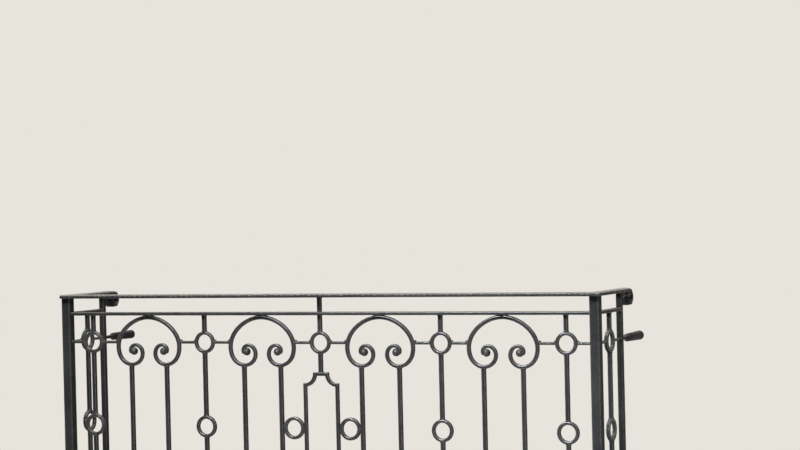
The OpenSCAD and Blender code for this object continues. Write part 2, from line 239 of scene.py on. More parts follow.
def upright_plane(side=0):
    """Drawing plane of the front, or of a side panel: across, up and through the bars."""
    if side:
        through = Vector((1, 0, 0))
        across = Vector((0, 1, 0))
        place = Vector((middle("corner_post_" + ("left" if side < 0 else "right")).x, 0, 0))
    else:
        through = Vector((0, -1, 0))
        across = Vector((1, 0, 0))
        place = Vector((0, middle("upper_rail_front").y, 0))
    return Matrix.Translation(place) @ Matrix((across, (0, 0, 1), through)).transposed().to_4x4()


def ring_rows():
    """Levels of the four rows of rings, from the top."""
    top = middle("link_bars_upper").z
    bottom = middle("link_bars_lower").z
    return [top + (bottom - top) * i / 3 for i in range(4)]


# Making bars


def new_part():
    """An empty mesh with the attributes that the materials and the hammer read."""
    bm = bmesh.new()
    for name in ("edge", "crown"):
        bm.verts.layers.float.new(name)
    return bm


def join(bm, part, place):
    """Adds a part to a piece at its place."""
    bmesh.ops.transform(part, matrix=place, verts=part.verts)
    mesh = bpy.data.meshes.new("part")
    part.to_mesh(mesh)
    part.free()
    bm.from_mesh(mesh)
    bpy.data.meshes.remove(mesh)


def start_bar(bm, thick, depth, corners, cuts):
    """The bar's section as a loop of edges. Corners gives a radius for the two lower and the two
    upper edges of the bar, and cuts the number of points on each flat."""
    large_radius, near_corner, long_flat = 0.003, 0.49, 0.25
    face = bmesh.ops.create_grid(bm, x_segments=1, y_segments=1, size=0.5)["verts"]
    bmesh.ops.scale(bm, vec=(thick, depth, 1), verts=face)
    loop_face = face[0].link_faces[0]
    wear = bm.verts.layers.float["edge"]
    crown = bm.verts.layers.float["crown"]
    for upper, radius in enumerate(corners):
        ends = [v for v in loop_face.verts if (v.co.x > thick * near_corner) == bool(upper)
                and abs(v.co.y) > depth * near_corner]
        segments = 3 if radius < large_radius else 5
        made = bmesh.ops.bevel(
            bm, geom=ends, offset=radius, offset_type="OFFSET", segments=segments,
            profile=0.5, affect="VERTICES", material=-1,
        )
        for v in made["verts"]:
            v[wear] = 1
            v[crown] = upper
        loop_face = made["verts"][0].link_faces[0]
    bmesh.ops.delete(bm, geom=[loop_face], context="FACES_ONLY")
    flats = [e for e in bm.edges if e.calc_length() > long_flat * min(thick, depth)]
    made = bmesh.ops.subdivide_edges(bm, edges=flats, cuts=cuts)
    for v in made["geom_inner"]:
        if isinstance(v, bmesh.types.BMVert):
            v[wear] = 0
            v[crown] = 0
    return bm.edges[:]


def stations(line, closed):
    """The frame of each point of a flat line: its section is mitred where the line turns."""
    count = len(line)
    frames = []
    for i, point in enumerate(line):
        before = line[i - 1] if closed or i else None
        after = line[(i + 1) % count] if closed or i < count - 1 else None
        arrive = (after if before is None else point) - (point if before is None else before)
        leave = arrive if after is None else after - point
        arrive, leave = arrive.normalized(), leave.normalized()
        ahead = (arrive + leave).normalized()
        spread = 1 / max(0.5, ahead.dot(leave))
        normal = Vector((-ahead.y, ahead.x))
        frames.append((point, normal, ahead, spread))
    return frames


def station_matrix(station, widen, deepen):
    """Places a section at a station of its line, in the drawing plane."""
    point, normal, ahead, spread = station
    a = normal * spread * widen
    return Matrix((
        (a.x, 0, ahead.x, point.x),
        (a.y, 0, ahead.y, point.y),
        (0, deepen, 0, 0),
        (0, 0, 0, 1),
    ))


def extrude_loop(bm, edges, move):
    """Extrudes a loop of edges and moves the new loop. Gives the new points and edges."""
    made = bmesh.ops.extrude_edge_only(bm, edges=edges)["geom"]
    verts = [g for g in made if isinstance(g, bmesh.types.BMVert)]
    edges = [g for g in made if isinstance(g, bmesh.types.BMEdge)]
    bmesh.ops.transform(bm, matrix=move, verts=verts)
    return verts, edges


def close_ends(bm):
    """Fills the open ends of a bar."""
    bmesh.ops.holes_fill(bm, edges=[e for e in bm.edges if e.is_boundary], sides=0)


def draw_bar(bm, line, thick, depth, corners, plane, step=None, widths=None, deeps=None,
             closed=False, cuts=3):
    """Draws a bar along a line of the drawing plane, with its section widened from place to place.
    Stretches much longer than the step are cut into shorter ones."""
    part = new_part()
    frames = stations(line, closed)
    step = step or bpy.context.scene.balcony_forging.step
    widths = widths or [1] * len(line)
    deeps = deeps or [1] * len(line)
    edges = start_bar(part, thick, depth, corners, cuts)
    verts = part.verts[:]
    place = station_matrix(frames[0], widths[0], deeps[0])
    bmesh.ops.transform(part, matrix=place, verts=verts)
    long_runs = []
    for i in list(range(1, len(line))) + ([0] if closed else []):
        new_place = station_matrix(frames[i], widths[i], deeps[i])
        old = set(verts)
        verts, edges = extrude_loop(part, edges, new_place @ place.inverted())
        gap = (new_place.translation - place.translation).length
        if gap > 1.5 * step:
            run = [e for v in verts for e in v.link_edges if e.other_vert(v) in old]
            long_runs.append((run, math.ceil(gap / step) - 1))
        place = new_place
    for run, count in long_runs:
        bmesh.ops.subdivide_edges(part, edges=run, cuts=count, use_grid_fill=True)
    if closed:
        bmesh.ops.remove_doubles(part, verts=part.verts, dist=1e-6)
    else:
        close_ends(part)
    join(bm, part, plane)


def weld_run(start, end, thick, sinks, forging):
    """Points from start to end, close together near both ends, and how much wider the bar is at
    each: it spreads in a fillet towards its seat, and is narrower again inside the seat."""
    buried, foot_share, fall = 0.85, 0.6, 1.6
    shares = (0, 0.3, 0.65, 1.1, 1.7, 2.6)
    size = (end - start).length
    ahead = (end - start) / size
    runs = []
    for sink in sinks:
        foot = foot_share * sink
        run = [(0.0, buried), (0.5 * foot, buried)] if sink else []
        for share in shares:
            gap = foot + share * forging.fillet_reach
            wide = 1 + 2 * forging.fillet / thick * math.exp(-(share ** 2) * fall)
            if gap < size / 2:
                run.append((gap, wide))
        runs.append(run)
    line = [start + ahead * d for d, _ in runs[0]] + [end - ahead * d for d, _ in reversed(runs[1])]
    wide = [w for _, w in runs[0]] + [w for _, w in reversed(runs[1])]
    return line, wide


def straight_bar(bm, plane, start, end, thick, sinks=(0, 0), edge=None):
    """A square bar welded at both ends, between two points of the drawing plane. Sinks say how deep
    each end lies inside what it is welded to."""
    forging = bpy.context.scene.balcony_forging
    line, wide = weld_run(Vector(start), Vector(end), thick, sinks, forging)
    edge = edge or forging.edge
    draw_bar(bm, line, thick, thick, (edge, edge), plane, widths=wide, deeps=wide)


def ring(bm, plane, centre, outer, bar, depth):
    """A ring of square bar, spun round its centre."""
    edge = bpy.context.scene.balcony_forging.soft_edge
    part = new_part()
    edges = start_bar(part, bar, depth, (edge, edge), cuts=2)
    stand = Matrix.Translation((outer / 2 - bar / 2, 0, 0)) @ Matrix.Rotation(math.pi / 2, 4, "X")
    bmesh.ops.transform(part, matrix=stand, verts=part.verts)
    spin_round(part, part.verts[:] + edges, RING_STEPS)
    join(bm, part, plane @ Matrix.Translation((*centre, 0)))


def ringed_bar(bm, plane, across, low_z, high_z, rows, bars):
    """A square bar broken by a ring at each of the rows."""
    sink = bpy.context.scene.balcony_forging.sink
    seat = bars.ring / 2 - sink
    tops = [high_z] + [z - seat for z in rows]
    ends = [z + seat for z in rows] + [low_z]
    for i, (top, end) in enumerate(zip(tops, ends)):
        sinks = (sink if i < len(rows) else 0, sink if i else 0)
        straight_bar(bm, plane, (across, end), (across, top), bars.bar, sinks)
    for z in rows:
        ring(bm, plane, (across, z), bars.ring, bars.ring_bar, bars.bar)


def spin_round(bm, profile, steps):
    """Spins a profile once round the Z axis."""
    bmesh.ops.spin(bm, geom=profile, cent=(0, 0, 0), axis=(0, 0, 1), angle=math.tau, steps=steps,
                   use_merge=True)


def spin_profile(bm, points):
    """Spins a line of points that starts and ends on the Z axis into a closed shape."""
    verts = [bm.verts.new((radius, 0, height)) for radius, height in points]
    edges = [bm.edges.new(pair) for pair in zip(verts, verts[1:])]
    spin_round(bm, verts + edges, DOME_STEPS)
    bmesh.ops.remove_doubles(bm, verts=bm.verts, dist=1e-5)


def add_bead(bm, plane, spot, radii, depth=0.0):
    """A weld bead: a flattened lump at a spot of the drawing plane. Its skin is uneven in its own
    way, because the noise of two beads is read far apart."""
    bump_scale, bump_depth, apart = 1.6, 0.16, 900
    part = new_part()
    bmesh.ops.create_icosphere(part, subdivisions=3, radius=1)
    for v in part.verts:
        lump = noise.noise(v.co * bump_scale + Vector((*spot, depth)) * apart)
        v.co *= 1 + bump_depth * lump
    bmesh.ops.scale(part, vec=radii, verts=part.verts)
    join(bm, part, plane @ Matrix.Translation((*spot, depth)))


def hammer(bm, depth, spacing, seed):
    """Presses shallow hammer marks into a piece, always inwards and deeper on its edges."""
    fine_spacing = 0.35 * spacing
    broad_share, fine_share, edge_extra = 0.75, 0.25, 0.6
    bmesh.ops.recalc_face_normals(bm, faces=bm.faces)
    bm.normal_update()
    wear = bm.verts.layers.float["edge"]
    shift = Vector((seed, 2.7 * seed, -1.3 * seed))
    moves = []
    for v in bm.verts:
        broad = 0.5 + 0.5 * noise.noise(v.co / spacing + shift)
        fine = 0.5 + 0.5 * noise.noise(v.co / fine_spacing + shift)
        mark = broad_share * broad + fine_share * fine
        moves.append(v.normal * (depth * mark * (1 + edge_extra * v[wear])))
    for v, move in zip(bm.verts, moves):
        v.co -= move


def finish_piece(bm, name, material, node):
    """Closes a piece's making: normals outward, object at the origin, on its body."""
    bmesh.ops.recalc_face_normals(bm, faces=bm.faces)
    mesh = bpy.data.meshes.new(name)
    bm.to_mesh(mesh)
    bm.free()
    mesh.shade_smooth()
    piece = bpy.data.objects.new(name, mesh)
    bpy.context.scene.collection.objects.link(piece)
    mesh.materials.append(material)
    mesh.set_sharp_from_angle(angle=math.radians(50))
    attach(piece, "root")
    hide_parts(node)


def forge(bm, node, material, seed, depth=1.0, spacing=1.0):
    """Hammers a piece of ironwork and puts it in the place of its CAD node. Depth and spacing are
    shares of the usual hammer marks."""
    forging = bpy.context.scene.balcony_forging
    hammer(bm, depth * forging.dent, spacing * forging.dent_spacing, seed)
    finish_piece(bm, "forged_" + node, material, node)


# Shader nodes


class NodeSheet:
    """Adds and joins the nodes of one material or group."""

    def __init__(self, tree):
        self.tree = tree
        tree.nodes.clear()

    def put(self, value, socket):
        """Gives a socket a link or a plain value."""
        if isinstance(value, bpy.types.NodeSocket):
            self.tree.links.new(value, socket)
        else:
            socket.default_value = value

    def add(self, kind, values=None, **settings):
        """Adds a node, with plain values and links for its inputs."""
        made = self.tree.nodes.new(kind)
        for key, value in settings.items():
            setattr(made, key, value)
        for key, value in (values or {}).items():
            self.put(value, made.inputs[key])
        return made

    def place(self):
        """Place on the object."""
        return self.add("ShaderNodeTexCoord").outputs["Object"]

    def noise(self, vector, scale, detail, roughness):
        """A noise pattern from 0 to 1."""
        made = self.add("ShaderNodeTexNoise", {
            "Vector": vector, "Scale": scale, "Detail": detail, "Roughness": roughness,
        })
        return made.outputs["Fac"]

    def ramp(self, value, low, high, to_low=0.0, to_high=1.0):
        """Maps a value from one range to another, clamped and eased."""
        made = self.add("ShaderNodeMapRange", {
            "Value": value, "From Min": low, "From Max": high, "To Min": to_low, "To Max": to_high,
        }, interpolation_type="SMOOTHSTEP")
        return made.outputs["Result"]

    def calc(self, operation, *values):
        """Joins values by one operation, from left to right."""
        result = values[0]
        for value in values[1:]:
            result = self.add(
                "ShaderNodeMath", {0: result, 1: value}, operation=operation).outputs[0]
        return result

    def blend(self, mask, a, b):
        """Blends two colours by a mask. The node's inputs 6 and 7 and its output 2 are colours."""
        a, b = (c if isinstance(c, bpy.types.NodeSocket) else (*c, 1) for c in (a, b))
        return self.add("ShaderNodeMix", {0: mask, 6: a, 7: b}, data_type="RGBA").outputs[2]

    def seen(self):
        """1 for rays that show the studio: to the camera, in gloss and through glass."""
        rays = self.add("ShaderNodeLightPath").outputs
        return self.calc("MAXIMUM", rays["Is Camera Ray"], rays["Is Glossy Ray"],
                         rays["Is Transmission Ray"])

    def group(self, name, **values):
        """Places a shared group, built at its first use, with this material's own values."""
        tree = bpy.data.node_groups.get(name) or SHARED_GROUPS[name](name)
        made = self.add("ShaderNodeGroup", values, node_tree=tree)
        return made.outputs


def new_group(name, inputs, outputs):
    """The sheet, group input and group output of a shader group with named number sockets."""
    tree = bpy.data.node_groups.new(name, "ShaderNodeTree")
    for label, default in inputs.items():
        socket = tree.interface.new_socket(
            name=label, in_out="INPUT", socket_type="NodeSocketFloat")
        socket.default_value = default
    for label in outputs:
        tree.interface.new_socket(name=label, in_out="OUTPUT", socket_type="NodeSocketFloat")
    sheet = NodeSheet(tree)
    return sheet, sheet.add("NodeGroupInput").outputs, sheet.add("NodeGroupOutput").inputs


def dust_and_top_light_group(name):
    """Dust that settles on upward faces, thicker in some places. On the iron its pale colour also
    paints the light that falls on the tops.
    """
    sheet, source, target = new_group(
        name, {"Amount": 0.5, "Scale": 30.0, "Start": 0.45, "Full": 0.95, "Least": 0.35}, ["Mask"])
    normal = sheet.add("ShaderNodeNewGeometry").outputs["Normal"]
    facing = sheet.add("ShaderNodeSeparateXYZ", {"Vector": normal}).outputs["Z"]
    upward = sheet.ramp(facing, source["Start"], source["Full"])
    cloud = sheet.noise(sheet.place(), source["Scale"], detail=5, roughness=0.65)
    patchy = sheet.ramp(cloud, 0.30, 0.72, source["Least"], 1.0)
    sheet.put(sheet.calc("MULTIPLY", upward, patchy, source["Amount"]), target["Mask"])
    return sheet.tree


def wear_and_highlight_group(name):
    """Edges rubbed through the paint, also standing for painted edge highlights, read from the
    pieces' own edge attribute.
    """
    sheet, source, target = new_group(name, {"Amount": 0.5, "Scale": 60.0}, ["Mask", "Edge"])
    edge = sheet.add("ShaderNodeAttribute", attribute_name="edge").outputs["Fac"]
    sharp = sheet.calc("POWER", edge, 2.5)
    cloud = sheet.noise(sheet.place(), source["Scale"], detail=6, roughness=0.7)
    broken = sheet.ramp(cloud, 0.42, 0.62)
    sheet.put(sheet.calc("MULTIPLY", sharp, broken, source["Amount"]), target["Mask"])
    sheet.put(sharp, target["Edge"])
    return sheet.tree


def grain_group(name):
    """Fine relief of a surface: a broad and a fine grain as one height."""
    sheet, source, target = new_group(
        name, {"Broad": 120.0, "Fine": 700.0, "Mix": 0.35}, ["Height"])
    place = sheet.place()
    broad = sheet.noise(place, source["Broad"], detail=2, roughness=0.45)
    fine = sheet.noise(place, source["Fine"], detail=3, roughness=0.6)
    fine = sheet.calc("MULTIPLY", fine, source["Mix"])
    sheet.put(sheet.calc("ADD", broad, fine), target["Height"])
    return sheet.tree


def painted_shade_group(name):
    """Painted shade close under a rail, where its shadow falls: 1 at the rail's underside, 0 at
    Reach below it.
    """
    sheet, source, target = new_group(name, {"Level": 1.0, "Reach": 0.02}, ["Mask"])
    place = sheet.place()
    height = sheet.add("ShaderNodeSeparateXYZ", {"Vector": place}).outputs["Z"]
    gap = sheet.calc("SUBTRACT", source["Level"], height)
    below = sheet.calc("GREATER_THAN", gap, -0.0005)
    cloud = sheet.noise(place, 120, detail=4, roughness=0.6)
    uneven = sheet.ramp(cloud, 0.25, 0.75, 0.75, 1.25)
    share = sheet.calc("DIVIDE", sheet.calc("MULTIPLY", gap, uneven), source["Reach"])
    near = sheet.ramp(share, 0.45, 1.0, 1.0, 0.0)
    sheet.put(sheet.calc("MULTIPLY", near, below), target["Mask"])
    return sheet.tree


SHARED_GROUPS = {
    "Settled dust": dust_and_top_light_group,
    "Edge wear": wear_and_highlight_group,
    "Surface grain": grain_group,
    "Sheltered grime": painted_shade_group,
}


def new_material(name):
    """A material and its empty sheet."""
    material = bpy.data.materials.new(name)
    material.use_nodes = True
    return material, NodeSheet(material.node_tree)


def finish_material(sheet, height, strength, distance, values):
    """Closes a material with its relief, its shader and the shader's values."""
    bump = sheet.add("ShaderNodeBump", {
        "Height": height, "Strength": strength, "Distance": distance,
    })
    shader = sheet.add("ShaderNodeBsdfPrincipled", {"Normal": bump.outputs["Normal"], **values})
    output = sheet.add("ShaderNodeOutputMaterial", {"Surface": shader.outputs["BSDF"]})
    output.is_active_output = True


def iron_material(name, dust, wear, rust, gloss=0.5, start=0.45, full=0.95, least=0.35, rubbed=0.2,
                  grime=()):
    """Satin black paint on hammered iron: polished edges, worn edges that also paint a highlight,
    dusty or rubbed tops whose pale colour also paints the light on them, a little rust, and painted
    shade under the rails whose nodes and reach are named."""
    if name in bpy.data.materials:
        return bpy.data.materials[name]
    finish = bpy.context.scene.balcony_finish
    material, sheet = new_material(name)
    place = sheet.place()
    worn = sheet.group("Edge wear", Amount=wear, Scale=70.0)
    dust_and_top_light_mask = sheet.group("Settled dust", Amount=dust, Scale=26.0, Start=start, Full=full,
                          Least=least)["Mask"]
    weathered = sheet.ramp(sheet.noise(place, 9, detail=6, roughness=0.62), 0.38, 0.70)
    rusty = sheet.noise(place, 38, detail=8, roughness=0.75)
    rusty = sheet.ramp(rusty, 0.66 - 0.16 * rust, 0.80, 0, 0.8)
    tone = sheet.blend(weathered, finish.paint, finish.paint_thin)
    tone = sheet.blend(rusty, tone, finish.rust)
    # Lighter edges: rubbed paint, and painted edge highlight
    tone = sheet.blend(worn["Mask"], tone, finish.worn)
    # Pale colour on upward faces: dust, and painted light on the tops
    tone = sheet.blend(dust_and_top_light_mask, tone, finish.dust)
    # Painted shade: a near-black colour under each rail, where its shadow falls
    for rail, reach in grime:
        under = sheet.group("Sheltered grime", Level=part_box(rail)[0].z, Reach=reach)
        tone = sheet.blend(under["Mask"], tone, finish.grime)
    rough = sheet.ramp(sheet.noise(place, 55, detail=4, roughness=0.6), 0.3, 0.7,
                       finish.roughness - 0.07, finish.roughness + 0.10)
    rough = sheet.calc("ADD", rough, sheet.calc("MULTIPLY", dust_and_top_light_mask, 0.30),
                       sheet.calc("MULTIPLY", rusty, 0.30))
    polish = sheet.ramp(sheet.noise(place, 80, detail=3, roughness=0.6), 0.3, 0.7,
                        0.55 * gloss, gloss)
    polish = sheet.calc("ADD", sheet.calc("MULTIPLY", worn["Edge"], polish), finish.sheen)
    polish = sheet.calc("MULTIPLY", polish, sheet.calc("SUBTRACT", 1.0, dust_and_top_light_mask))
    polish = sheet.calc("ADD", polish, sheet.calc("MULTIPLY", dust_and_top_light_mask, rubbed))
    height = sheet.group("Surface grain", Broad=170.0, Fine=900.0, Mix=0.30)["Height"]
    finish_material(sheet, height, strength=0.28, distance=0.0006, values={
        "Base Color": tone, "Roughness": rough, "Metallic": 0.0, "IOR": 1.5,
        "Specular IOR Level": 0.01, "Coat Weight": polish, "Coat Roughness": 0.22, "Coat IOR": 1.7,
    })
    return material


def bar_iron():
    """Iron of the balusters, rings and scrolls."""
    return iron_material(
        "Painted iron", dust=0.60, wear=0.35, rust=0.25, gloss=0.9, start=0.25, full=0.75,
        # Painted shade under the handrail and both rails
        least=0.5, grime=(("handrail_front", 0.040), ("upper_rail_front", 0.016),
                          ("lower_rail_front", 0.016)))


def rail_iron():
    """Iron of the upper and lower rails, more rubbed, and dustier with more painted light on the
    tops.
    """
    return iron_material(
        "Painted iron, rails", dust=0.80, wear=0.4, rust=0.2, start=0.20, full=0.60, least=0.6,
        rubbed=0.6)


def handrail_iron():
    """Iron of the handrail, rubbed glossy along the top and pale there: dusty, and painted as lit
    from above.
    """
    return iron_material(
        "Painted iron, handrail", dust=0.90, wear=0.4, rust=0.1, start=0.25, full=0.55, least=0.75,
        rubbed=0.8)


def post_iron():
    """Iron of the posts and stays."""
    return iron_material(
        # Painted shade under the handrail, at the tops of the posts
        "Painted iron, posts", dust=0.35, wear=0.30, rust=0.15, grime=(("handrail_front", 0.022),))


def slab_stone():
    """Matt pale render with weather stains, pores and rubbed edges."""
    finish = bpy.context.scene.balcony_finish
    material, sheet = new_material("Slab stone")
    place = sheet.place()
    high_place = sheet.add("ShaderNodeMapping", {"Vector": place, "Scale": (1, 1, 0.12)})
    streaks = sheet.noise(high_place.outputs["Vector"], 34, detail=5, roughness=0.7)
    stains = (
        sheet.ramp(sheet.noise(place, 5, detail=6, roughness=0.6), 0.35, 0.75, 0, 0.35),
        sheet.ramp(streaks, 0.50, 0.75, 0, 0.5),
        sheet.group("Settled dust", Amount=0.45, Scale=9.0)["Mask"],
        sheet.ramp(sheet.noise(place, 520, detail=2, roughness=0.5), 0.60, 0.72, 0, 0.35),
    )
    tone = finish.stone
    for stain in stains:
        tone = sheet.blend(stain, tone, finish.stone_dark)
    worn = sheet.group("Edge wear", Amount=0.6, Scale=40.0)["Mask"]
    pale = tuple(min(1.0, 1.15 * c) for c in finish.stone)
    tone = sheet.blend(worn, tone, pale)
    rough = sheet.ramp(sheet.noise(place, 60, detail=4, roughness=0.6), 0.3, 0.7, 0.78, 0.94)
    height = sheet.group("Surface grain", Broad=90.0, Fine=620.0, Mix=0.8)["Height"]
    finish_material(sheet, height, strength=0.6, distance=0.0015, values={
        "Base Color": tone, "Roughness": rough, "Specular IOR Level": 0.3,
    })
    return material


# Pieces


class BuildOperator:
    """Shared settings of the operators."""

    bl_options = {"REGISTER", "UNDO"}


class BALCONY_OT_floor_slab(BuildOperator, bpy.types.Operator):
    """Build the moulded floor slab"""

    bl_idname = "balcony.floor_slab"
    bl_label = "Floor slab"

    def execute(self, context):
        slab = context.scene.balcony_slab
        low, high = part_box("floor_slab")
        width, reach = high.x - low.x, high.y - low.y
        cove_z = high.z - slab.band
        bm = new_part()
        wear = bm.verts.layers.float["edge"]
        bmesh.ops.create_grid(bm, x_segments=round(width / slab.grain),
                              y_segments=round(reach / slab.grain), size=0.5)
        edges = [e for e in bm.edges if e.is_boundary]

        def level_matrix(inset, z):
            size = Matrix.Diagonal((width - 2 * inset, reach - inset, 1, 1))
            return Matrix.Translation((0, high.y - (reach - inset) / 2, z)) @ size

        levels = self.profile(slab, low.z, high.z, cove_z)
        place = level_matrix(*levels[0])
        bmesh.ops.transform(bm, matrix=place, verts=bm.verts)
        for inset, z in levels[1:]:
            new_place = level_matrix(inset, z)
            verts, edges = extrude_loop(bm, edges, new_place @ place.inverted())
            place = new_place
            rubbed = z > high.z - slab.edge or abs(z - cove_z) < 0.001
            for v in verts:
                v[wear] = 1.0 if rubbed else 0.0
        bmesh.ops.holes_fill(bm, edges=edges, sides=0)
        self.weather(bm, slab)
        finish_piece(bm, "slab_body", slab_stone(), "floor_slab")
        return {"FINISHED"}

    def profile(self, slab, low_z, high_z, cove_z):
        """Inset and height of each level of the slab's side, from its top edge downwards."""
        edge_steps, cove_steps, base_steps = 4, 10, 4
        lip = 0.0008
        base_bevel = 0.002
        levels = []
        for i in range(edge_steps + 1):
            a = math.pi / 2 * i / edge_steps
            levels.append((slab.edge * (1 - math.sin(a)), high_z - slab.edge * (1 - math.cos(a))))
        start_z = levels[-1][1]
        band_steps = round((start_z - cove_z - slab.edge) / slab.grain)
        for i in range(1, band_steps + 1):
            levels.append((0, start_z + (cove_z + lip - start_z) * i / band_steps))
        levels.append((lip, cove_z))
        for i in range(1, cove_steps + 1):
            a = math.pi / 2 * i / cove_steps
            levels.append((slab.cove * math.sin(a), cove_z - slab.cove * (1 - math.cos(a))))
        start_z = levels[-1][1]
        for i in range(1, base_steps + 1):
            levels.append((slab.cove, start_z + (low_z + base_bevel - start_z) * i / base_steps))
        levels.append((slab.cove + base_bevel, low_z))
        return levels

    def weather(self, bm, slab):
        """Presses the surface in unevenly and chips its edges, but not at the wall."""
        uneven, uneven_scale, wall_gap = 0.0008, 14, 0.002
        chip_scale, chip_start, chip_gain = 45, 0.25, 2.2
        chip_shift = Vector((3, 1, 7))
        wear = bm.verts.layers.float["edge"]
        bm.normal_update()
        for v in bm.verts:
            press = uneven * (0.5 + 0.5 * noise.noise(v.co * uneven_scale))
            if v[wear] > 0.5 and v.co.y < -wall_gap:
                pit = max(0.0, noise.noise(v.co * chip_scale + chip_shift) - chip_start)
                press += slab.chip * chip_gain * pit
            v.co -= v.normal * press
            v.co.y = min(v.co.y, 0.0)


class BALCONY_OT_posts(BuildOperator, bpy.types.Operator):
    """Build the four posts with their foot plates and screws"""

    bl_idname = "balcony.posts"
    bl_label = "Posts"

    def execute(self, context):
        bars = context.scene.balcony_bars
        forging = context.scene.balcony_forging
        for kind, side_w in (("corner_post", bars.corner_post), ("back_post", bars.back_post)):
            for name in SIDES:
                node = f"{kind}_{name}"
                low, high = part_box(node)
                centre = middle(node)
                plane = upright_plane()
                plane.translation.y = centre.y
                bm = new_part()
                draw_bar(bm, [Vector((centre.x, low.z + bars.foot)), Vector((centre.x, high.z))],
                         side_w, side_w, (forging.edge, forging.edge), plane, cuts=4)
                self.foot_plate(bm, low, high, bars.foot, forging.edge)
                self.screws(bm, low, high, side_w, bars)
                forge(bm, node, post_iron(), centre.x + centre.y, spacing=1.5)
        return {"FINISHED"}

    def foot_plate(self, bm, low, high, thick, edge):
        """A square plate with worn edges."""
        made = bmesh.ops.create_cube(bm, size=1)["verts"]
        size = Vector((high.x - low.x, high.y - low.y, thick))
        bmesh.ops.scale(bm, vec=size, verts=made)
        spot = ((low.x + high.x) / 2, (low.y + high.y) / 2, low.z + thick / 2)
        bmesh.ops.translate(bm, vec=spot, verts=made)
        rims = list({e for v in made for e in v.link_edges})
        bevelled = bmesh.ops.bevel(
            bm, geom=rims, offset=edge, offset_type="OFFSET", segments=2, profile=0.5,
            affect="EDGES", material=-1)
        for v in bevelled["verts"]:
            v[bm.verts.layers.float["edge"]] = 1

    def screws(self, bm, low, high, post, bars):
        """Four domed screw heads on the corners of a foot plate."""
        flatten = 0.55
        centre = (low + high) / 2
        reach = ((high.x - low.x) / 2 + post / 2) / 2
        for x in (-1, 1):
            for y in (-1, 1):
                made = bmesh.ops.create_uvsphere(
                    bm, u_segments=16, v_segments=8, radius=bars.screw)["verts"]
                bmesh.ops.scale(bm, vec=(1, 1, flatten), verts=made)
                spot = (centre.x + x * reach, centre.y + y * reach, low.z + bars.foot)
                bmesh.ops.translate(bm, vec=spot, verts=made)


class BALCONY_OT_handrail(BuildOperator, bpy.types.Operator):
    """Build the hammered handrail, mitred at the corners, with a roll at each end"""

    bl_idname = "balcony.handrail"
    bl_label = "Handrail"

    def execute(self, context):
        rail = context.scene.balcony_handrail
        forging = context.scene.balcony_forging
        low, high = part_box("handrail_front")
        width = high.y - low.y
        level = high.z - rail.thickness / 2
        edges = (forging.edge, rail.crown)
        step = rail.notch_pitch / 6
        corner = Vector((high.x, low.y))
        bm = new_part()
        draw_bar(bm, [Vector((low.x, level)), Vector((high.x, level))], rail.thickness, width,
                 edges, upright_plane(), step)
        for side in SIDES.values():
            self.mitre(bm, Vector((side * high.x, low.y, 0)), Vector((side, 1, 0)))
        self.notch(bm, rail, 0, corner)
        forge(bm, "handrail_front", handrail_iron(), seed=0.0, depth=0.5)
        for name, side in SIDES.items():
            node = "handrail_" + name
            bm = new_part()
            line, wide = self.rolled_line(rail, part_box(node)[0].y, middle("back_post_" + name).y,
                                          high.z)
            draw_bar(bm, line, rail.thickness, width, edges, upright_plane(side), step,
                     widths=wide)
            self.mitre(bm, Vector((side * high.x, low.y, 0)), Vector((-side, -1, 0)))
            self.notch(bm, rail, 1, corner)
            forge(bm, node, handrail_iron(), side, depth=0.5)
        return {"FINISHED"}

    def rolled_line(self, rail, start_y, back_post_y, top_z):
        """Middle line of a side handrail: straight back, then down and round in a roll."""
        centre = Vector((back_post_y + rail.roll_reach, top_z - rail.roll / 2))
        line = [Vector((start_y, top_z - rail.thickness / 2))]
        wide = [1]
        steps = 64
        for i in range(steps + 1):
            a = rail.roll_turn * i / steps
            thick = rail.thickness + (rail.roll_end - rail.thickness) * i / steps
            inward = (rail.thickness + rail.roll_gap) * a / math.tau
            radius = rail.roll / 2 - inward - thick / 2
            line.append(centre + radius * Vector((math.sin(a), math.cos(a))))
            wide.append(thick / rail.thickness)
        return line, wide

    def mitre(self, bm, place, outward):
        """Cuts a handrail off along a corner's diagonal and closes the cut."""
        geometry = bm.verts[:] + bm.edges[:] + bm.faces[:]
        bmesh.ops.bisect_plane(
            bm, geom=geometry, dist=1e-6, plane_co=place, plane_no=outward.normalized(),
            clear_outer=True)
        close_ends(bm)

    def notch(self, bm, rail, along, corner):
        """Hammers facets into the crown's two edges, a little unevenly and staggered, fading at
        the mitres. Along is 0 for the front rail and 1 for a side rail."""
        stagger, even, uneven, next_cell = 0.35, 0.65, 0.35, 1.37
        painted = 0.7
        crown = bm.verts.layers.float["crown"]
        wear = bm.verts.layers.float["edge"]
        bmesh.ops.recalc_face_normals(bm, faces=bm.faces)
        bm.normal_update()
        across = [v.co[1 - along] for v in bm.verts]
        centre = (min(across) + max(across)) / 2
        moves = []
        for v in bm.verts:
            if v[crown] < 0.5:
                continue
            s = v.co[along] / rail.notch_pitch + stagger * (v.co[1 - along] > centre)
            cell, part = math.floor(s), s - math.floor(s)
            strength = even + uneven * noise.noise(Vector((cell * next_cell, 0.5, 0.5)))
            facet = 1 - (2 * part - 1) ** 2
            gap = abs(corner.x - abs(v.co.x) - (v.co.y - corner.y))
            facet *= min(1.0, gap / rail.notch_pitch)
            moves.append((v, v.normal * rail.notch_depth * strength * facet, facet))
        for v, move, facet in moves:
            v.co -= move
            # The lighter edge colour stays on the ridges between the notches: rubbed paint, and a
            # painted highlight
            v[wear] = 1 - painted * facet


